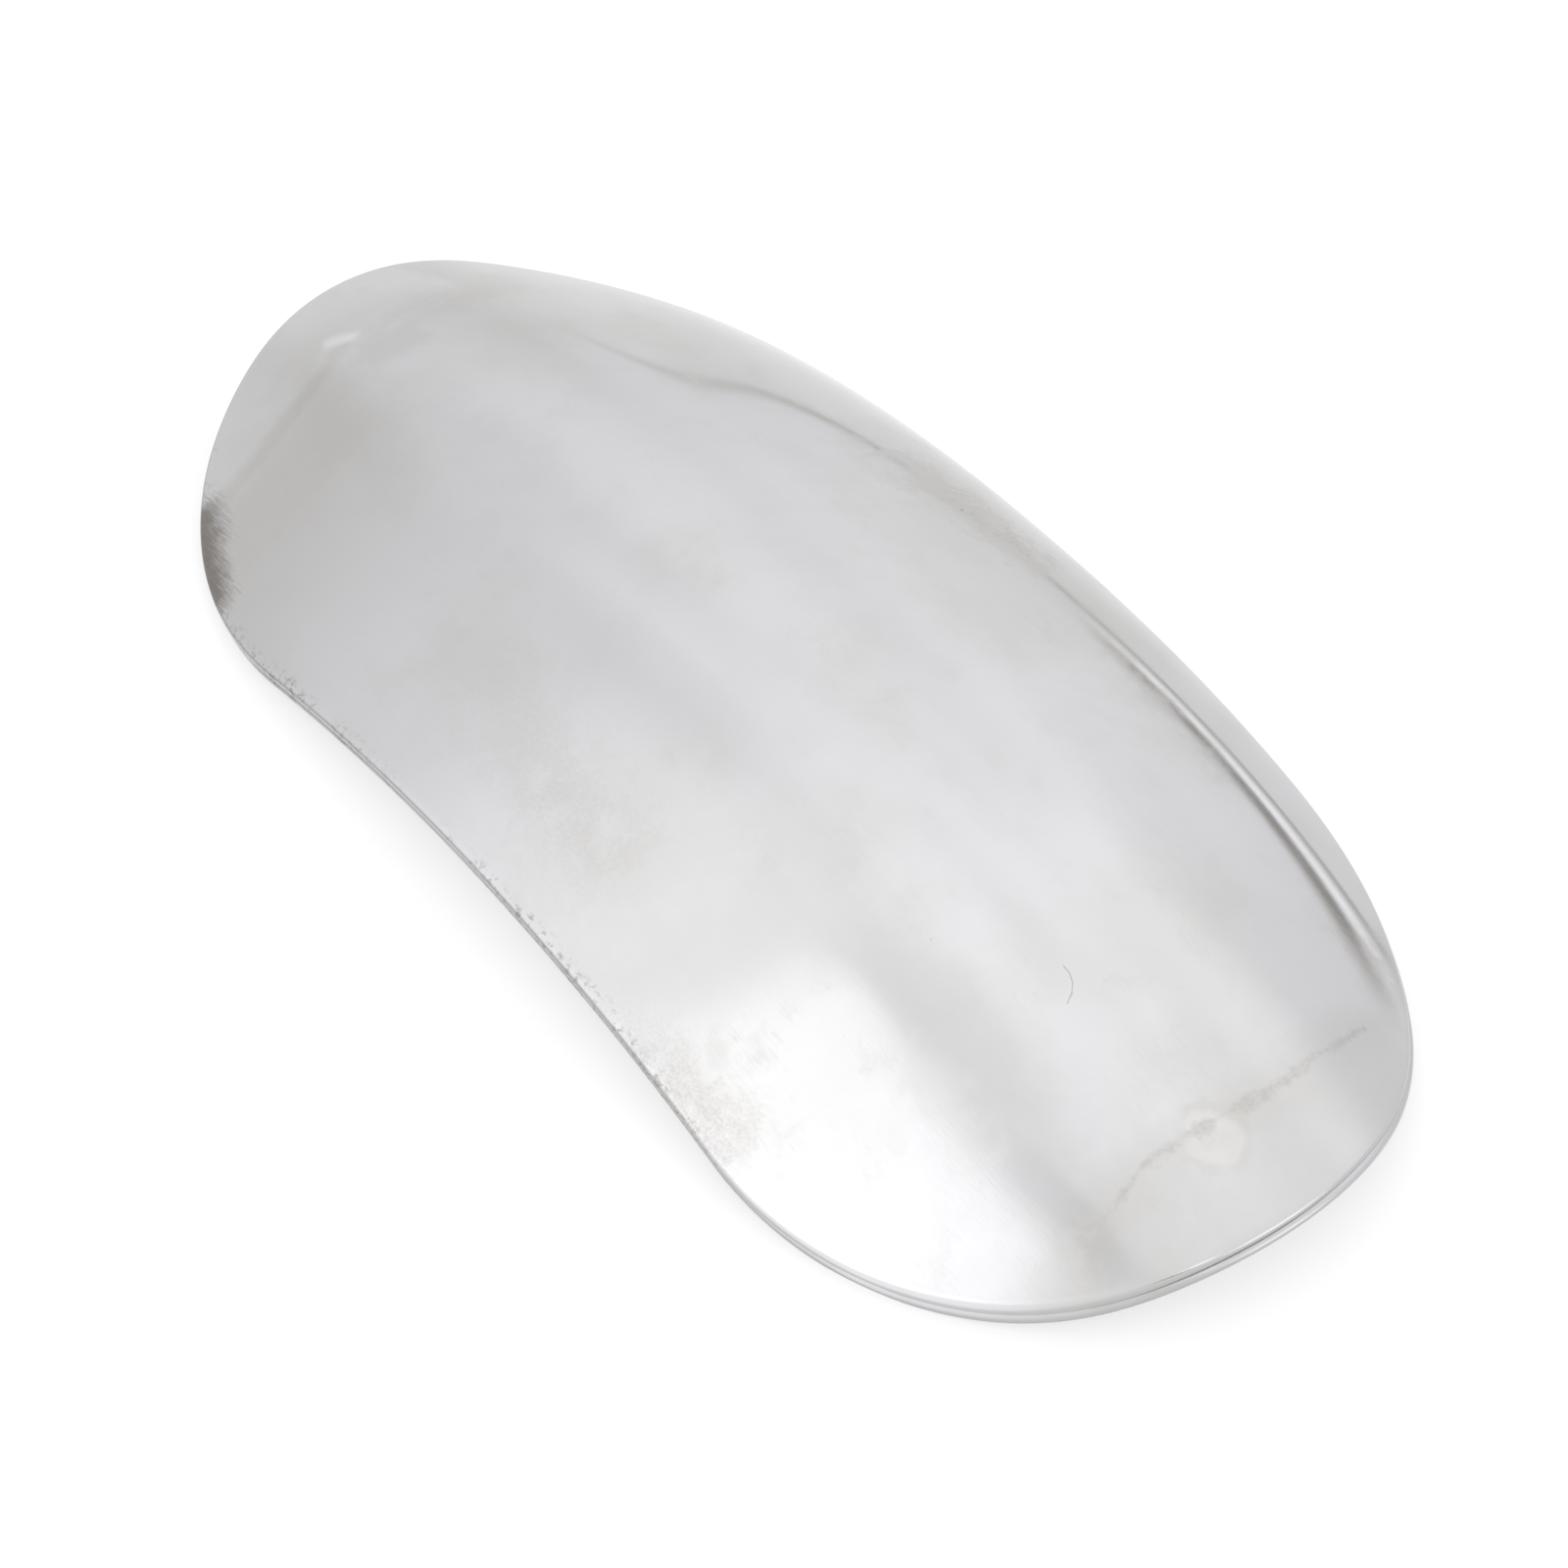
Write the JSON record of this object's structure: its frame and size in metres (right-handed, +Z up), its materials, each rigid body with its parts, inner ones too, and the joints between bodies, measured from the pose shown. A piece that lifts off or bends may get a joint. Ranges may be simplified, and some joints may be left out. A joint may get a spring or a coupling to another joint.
{
  "type": "kidney dish",
  "caption": "Shallow kidney dishes of thin polished sheet, arched across and along, nested one on the other and stored hollow side down; the upper one lifts straight off.",
  "frame": {"origin": "on the table, under the middle of the pair's box, with the dishes hollow side down", "axes": "+X along the dishes' length, -Y towards the side with the shallow notch, +Z up through the crests"},
  "size_m": [0.2506, 0.1212, 0.0331],
  "materials": {
    "polished_steel": "polished"
  },
  "bodies": {
    "lower": {"lower_dish": "polished_steel"},
    "upper": {"upper_dish": "polished_steel"}
  },
  "joints": [
    {"name": "upper_lift", "type": "slide", "parent": "lower", "child": "upper", "axis": [0, 0, 1], "range_m": [0, 0.06]}
  ]
}
